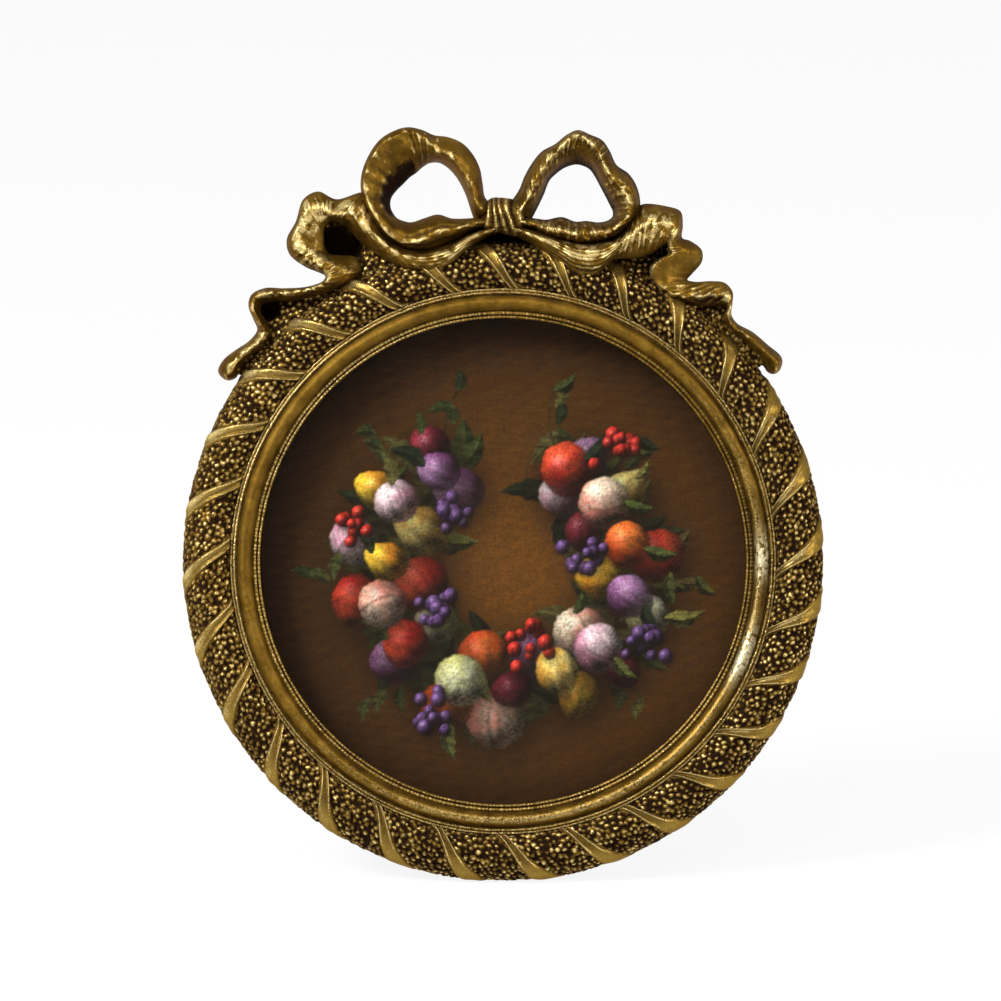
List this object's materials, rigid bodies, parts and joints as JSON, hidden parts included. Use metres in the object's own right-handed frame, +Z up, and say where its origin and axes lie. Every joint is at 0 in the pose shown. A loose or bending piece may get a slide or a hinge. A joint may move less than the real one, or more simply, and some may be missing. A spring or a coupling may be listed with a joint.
{
  "type": "picture frame",
  "caption": "Round baroque tabletop picture frame with a pebbled rope band, ribbon bow crest, glazed print, turn-button back, folding easel leg and hanging ring.",
  "frame": {"origin": "centre of the flat under the ring, on the table", "axes": "+Z up from the table, -Y the side the picture faces, +X to the viewer's right; the frame leans back 12 degrees towards +Y"},
  "size_m": [0.101, 0.0407, 0.1154],
  "materials": {
    "antique_gold": "cast resin with antique-gold paint, brown wash in the hollows and worn pale edges",
    "clear_glass": "clear float glass",
    "printed_paper": "matt printed paper",
    "grey_card": "plain grey-brown card",
    "flocked_board": "fibreboard with black flock",
    "brassed_steel": "brass-plated steel sheet",
    "steel": "bright zinc-plated steel"
  },
  "bodies": {
    "frame": {"frame_ring": "antique_gold", "crest_plate": "antique_gold", "bow_knot": "antique_gold", "bow_loop_left": "antique_gold", "bow_loop_right": "antique_gold", "ribbon_tail_left": "antique_gold", "ribbon_tail_right": "antique_gold", "glass_pane": "clear_glass", "art_print": "printed_paper", "filler_card": "grey_card", "backing_board": "flocked_board", "turn_screw_1": "steel", "turn_screw_2": "steel", "turn_screw_3": "steel", "turn_screw_4": "steel", "easel_hinge_plate": "brassed_steel", "easel_hinge_pin": "steel", "plate_rivet_1": "steel", "plate_rivet_2": "steel", "hanger_strap": "brassed_steel", "hanger_rivet": "steel"},
    "easel_leg": {"easel_leg": "flocked_board", "easel_leg_leaf": "brassed_steel", "leg_rivet_1": "steel", "leg_rivet_2": "steel"},
    "hanger_ring": {"hanger_ring": "steel"},
    "turn_button_1": {"turn_button_1": "brassed_steel"},
    "turn_button_2": {"turn_button_2": "brassed_steel"},
    "turn_button_3": {"turn_button_3": "brassed_steel"},
    "turn_button_4": {"turn_button_4": "brassed_steel"}
  },
  "joints": [
    {"name": "easel_fold", "type": "hinge", "parent": "frame", "child": "easel_leg", "pos_m": [0, 0.01756, 0.05694], "axis": [-1, 0, 0], "range_deg": [0, 27]},
    {"name": "hanger_swing", "type": "hinge", "parent": "frame", "child": "hanger_ring", "pos_m": [0, 0.02244, 0.08248], "axis": [1, 0, 0], "range_deg": [-8, 165]},
    {"name": "turn_button_1_turn", "type": "hinge", "parent": "frame", "child": "turn_button_1", "pos_m": [0.03172, 0.0208, 0.07845], "axis": [0, 0.9781, -0.2079], "continuous": true},
    {"name": "turn_button_2_turn", "type": "hinge", "parent": "frame", "child": "turn_button_2", "pos_m": [-0.03172, 0.0208, 0.07845], "axis": [0, 0.9781, -0.2079], "continuous": true},
    {"name": "turn_button_3_turn", "type": "hinge", "parent": "frame", "child": "turn_button_3", "pos_m": [-0.03172, 0.00761, 0.0164], "axis": [0, 0.9781, -0.2079], "continuous": true},
    {"name": "turn_button_4_turn", "type": "hinge", "parent": "frame", "child": "turn_button_4", "pos_m": [0.03172, 0.00761, 0.0164], "axis": [0, 0.9781, -0.2079], "continuous": true}
  ]
}
